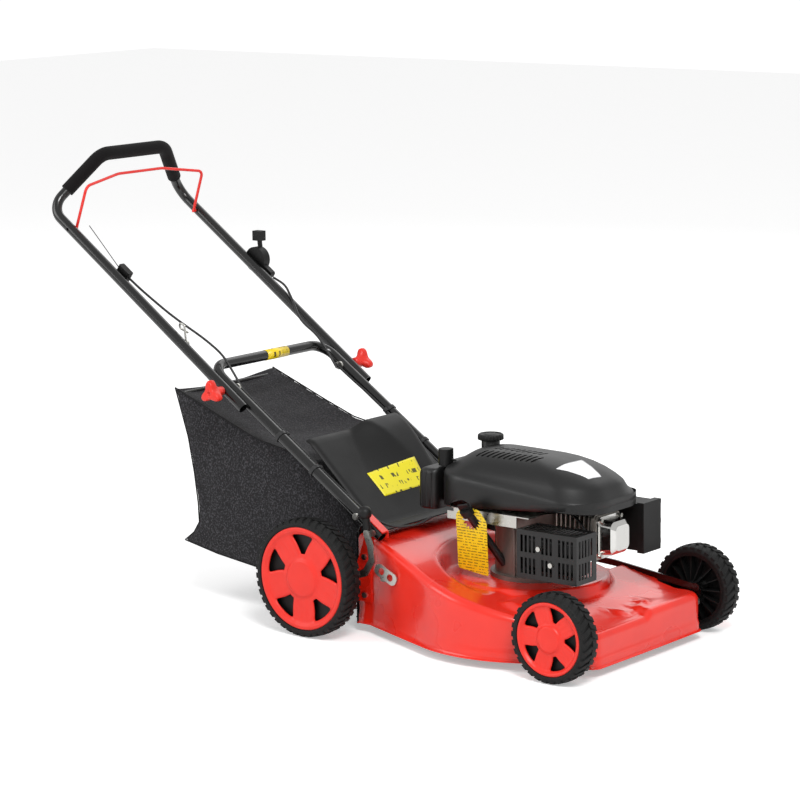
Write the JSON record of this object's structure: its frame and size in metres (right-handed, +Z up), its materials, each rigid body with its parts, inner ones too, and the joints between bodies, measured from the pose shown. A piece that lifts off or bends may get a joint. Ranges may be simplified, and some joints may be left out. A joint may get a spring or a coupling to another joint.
{
  "type": "push lawn mower",
  "caption": "Walk-behind rotary mower: pressed steel deck, vertical-shaft engine, folding tube handle with bail, height-adjust axles and rear grass bag.",
  "frame": {"origin": "on the ground, on the blade's vertical axis, midway between the wheels of each axle", "axes": "+X forward in the direction of mowing, +Y to the operator's left, +Z up"},
  "size_m": [1.456, 0.556, 0.955],
  "materials": {
    "red_enamel": "glossy red enamel on pressed steel",
    "red_plastic": "moulded red polypropylene",
    "red_wire": "red powder coat",
    "tyre_rubber": "moulded black tyre",
    "black_tube": "black powder coat on steel tube",
    "foam": "soft black foam",
    "black_plastic": "moulded black plastic",
    "cable_sheath": "black cable sheath",
    "bag_fabric": "black woven mesh",
    "zinc_steel": "zinc plated steel",
    "black_steel": "black painted steel",
    "cast_aluminium": "cast aluminium",
    "forged_steel": "machined steel",
    "tag_card": "yellow laminated card"
  },
  "bodies": {
    "deck": {"deck_shell": "red_enamel", "handle_brackets": "red_enamel", "axle_bearings": "zinc_steel", "deck_bolts": "zinc_steel", "height_quadrant": "zinc_steel", "lower_handle": "black_tube", "clamp_bolts": "zinc_steel", "lower_cables": "cable_sheath", "cable_clips": "black_plastic", "door_rod": "zinc_steel", "door_spring": "zinc_steel", "crankcase": "cast_aluminium", "cylinder": "cast_aluminium", "rocker_cover": "cast_aluminium", "spark_plug": "black_plastic", "muffler": "black_steel", "muffler_guard": "black_steel", "carburettor": "cast_aluminium", "air_filter_box": "black_plastic", "blower_plate": "zinc_steel", "engine_cover": "black_plastic", "fuel_tank": "black_plastic", "oil_filler_tube": "black_steel", "hang_tag": "tag_card", "engine_bolts": "zinc_steel"},
    "rear_axle": {"rear_axle": "black_steel", "height_lever": "zinc_steel", "lever_grip": "black_plastic"},
    "front_axle": {"front_axle": "black_steel"},
    "height_link": {"height_link": "black_steel"},
    "rear_left_wheel": {"rear_left_tyre": "tyre_rubber", "rear_left_rim": "red_plastic"},
    "rear_right_wheel": {"rear_right_tyre": "tyre_rubber", "rear_right_rim": "red_plastic"},
    "front_left_wheel": {"front_left_tyre": "tyre_rubber", "front_left_rim": "red_plastic"},
    "front_right_wheel": {"front_right_tyre": "tyre_rubber", "front_right_rim": "red_plastic"},
    "rear_flap": {"rear_flap": "foam"},
    "rear_door": {"rear_door": "black_plastic"},
    "grass_bag": {"grass_bag": "bag_fabric", "bag_frame": "black_steel"},
    "upper_handle": {"upper_handle": "black_tube", "foam_grip": "foam", "bail_cable_bracket": "black_plastic", "throttle_housing": "black_plastic", "rope_guide": "zinc_steel", "upper_cables": "cable_sheath"},
    "bail": {"bail": "red_wire"},
    "throttle_lever": {"throttle_lever": "black_plastic"},
    "left_knob": {"left_knob": "red_plastic"},
    "right_knob": {"right_knob": "red_plastic"},
    "crank": {"crankshaft": "forged_steel", "flywheel": "cast_aluminium", "blade": "black_steel", "blade_boss": "black_steel"},
    "recoil_pulley": {"recoil_pulley": "black_plastic"},
    "starter_grip": {"starter_grip": "black_plastic"},
    "fuel_cap": {"fuel_cap": "black_plastic"},
    "dipstick": {"dipstick": "black_plastic"}
  },
  "joints": [
    {"name": "height_adjust", "type": "hinge", "parent": "deck", "child": "rear_axle", "pos_m": [-0.358, 0, 0.109], "axis": [0, 1, 0], "range_deg": [-38, 15]},
    {"name": "front_height_follow", "type": "hinge", "parent": "deck", "child": "front_axle", "pos_m": [0.258, 0, 0.075], "axis": [0, 1, 0], "range_deg": [-38, 15]},
    {"name": "height_link_turn", "type": "hinge", "parent": "rear_axle", "child": "height_link", "pos_m": [-0.358, 0.2, 0.137], "axis": [0, 1, 0], "range_deg": [-15, 38]},
    {"name": "rear_left_wheel_spin", "type": "hinge", "parent": "rear_axle", "child": "rear_left_wheel", "pos_m": [-0.39, 0.25, 0.123], "axis": [0, 1, 0], "continuous": true},
    {"name": "rear_right_wheel_spin", "type": "hinge", "parent": "rear_axle", "child": "rear_right_wheel", "pos_m": [-0.39, -0.25, 0.123], "axis": [0, 1, 0], "continuous": true},
    {"name": "front_left_wheel_spin", "type": "hinge", "parent": "front_axle", "child": "front_left_wheel", "pos_m": [0.226, 0.25, 0.089], "axis": [0, 1, 0], "continuous": true},
    {"name": "front_right_wheel_spin", "type": "hinge", "parent": "front_axle", "child": "front_right_wheel", "pos_m": [0.226, -0.25, 0.089], "axis": [0, 1, 0], "continuous": true},
    {"name": "flap_swing", "type": "hinge", "parent": "deck", "child": "rear_flap", "pos_m": [-0.336, 0, 0.108], "axis": [0, 1, 0], "range_deg": [0, 45]},
    {"name": "door_lift", "type": "hinge", "parent": "deck", "child": "rear_door", "pos_m": [-0.292, 0, 0.218], "axis": [0, 1, 0], "range_deg": [0, 25], "stiffness_Nm_per_rad": 0.4, "springref_deg": -34.38},
    {"name": "bag_unhook", "type": "slide", "parent": "deck", "child": "grass_bag", "axis": [-0.9397, 0, 0.3419], "range_m": [0, 0.2]},
    {"name": "handle_fold", "type": "hinge", "parent": "deck", "child": "upper_handle", "pos_m": [-0.646, 0, 0.478], "axis": [0, 1, 0], "range_deg": [0, 130]},
    {"name": "bail_squeeze", "type": "hinge", "parent": "upper_handle", "child": "bail", "pos_m": [-1.081, 0, 0.78729], "axis": [0, 1, 0], "range_deg": [-12, 0], "stiffness_Nm_per_rad": 1.5, "springref_deg": 14.32},
    {"name": "throttle_turn", "type": "hinge", "parent": "upper_handle", "child": "throttle_lever", "pos_m": [-0.926, 0.235, 0.68508], "axis": [0, 1, 0], "range_deg": [-30, 35]},
    {"name": "left_knob_turn", "type": "hinge", "parent": "deck", "child": "left_knob", "pos_m": [-0.646, 0.24, 0.478], "axis": [0, 1, 0], "continuous": true},
    {"name": "right_knob_turn", "type": "hinge", "parent": "deck", "child": "right_knob", "pos_m": [-0.646, -0.24, 0.478], "axis": [0, 1, 0], "continuous": true},
    {"name": "crank_spin", "type": "hinge", "parent": "deck", "child": "crank", "pos_m": [0, 0, 0.1], "axis": [0, 0, 1], "continuous": true},
    {"name": "starter_pull", "type": "slide", "parent": "deck", "child": "starter_grip", "axis": [-0.9213, -0.2203, 0.3204], "range_m": [0, 0.35], "stiffness_N_per_m": 20, "springref_m": -0.1},
    {"name": "recoil_pulley_spin", "type": "hinge", "parent": "deck", "child": "recoil_pulley", "pos_m": [0, 0, 0.35], "axis": [0, 0, 1], "range_deg": [0, 600]},
    {"name": "fuel_cap_turn", "type": "hinge", "parent": "deck", "child": "fuel_cap", "pos_m": [-0.138, 0.036, 0.395], "axis": [0, 0, 1], "range_deg": [0, 90]},
    {"name": "dipstick_draw", "type": "slide", "parent": "deck", "child": "dipstick", "axis": [-0.2715, -0.5128, 0.8145], "range_m": [0, 0.1]}
  ],
  "couplings": [
    {"joint": "front_height_follow", "follows": "height_adjust", "ratio": 1},
    {"joint": "height_link_turn", "follows": "height_adjust", "ratio": -1},
    {"joint": "recoil_pulley_spin", "follows": "starter_pull", "rad_per_m": 29.412}
  ]
}
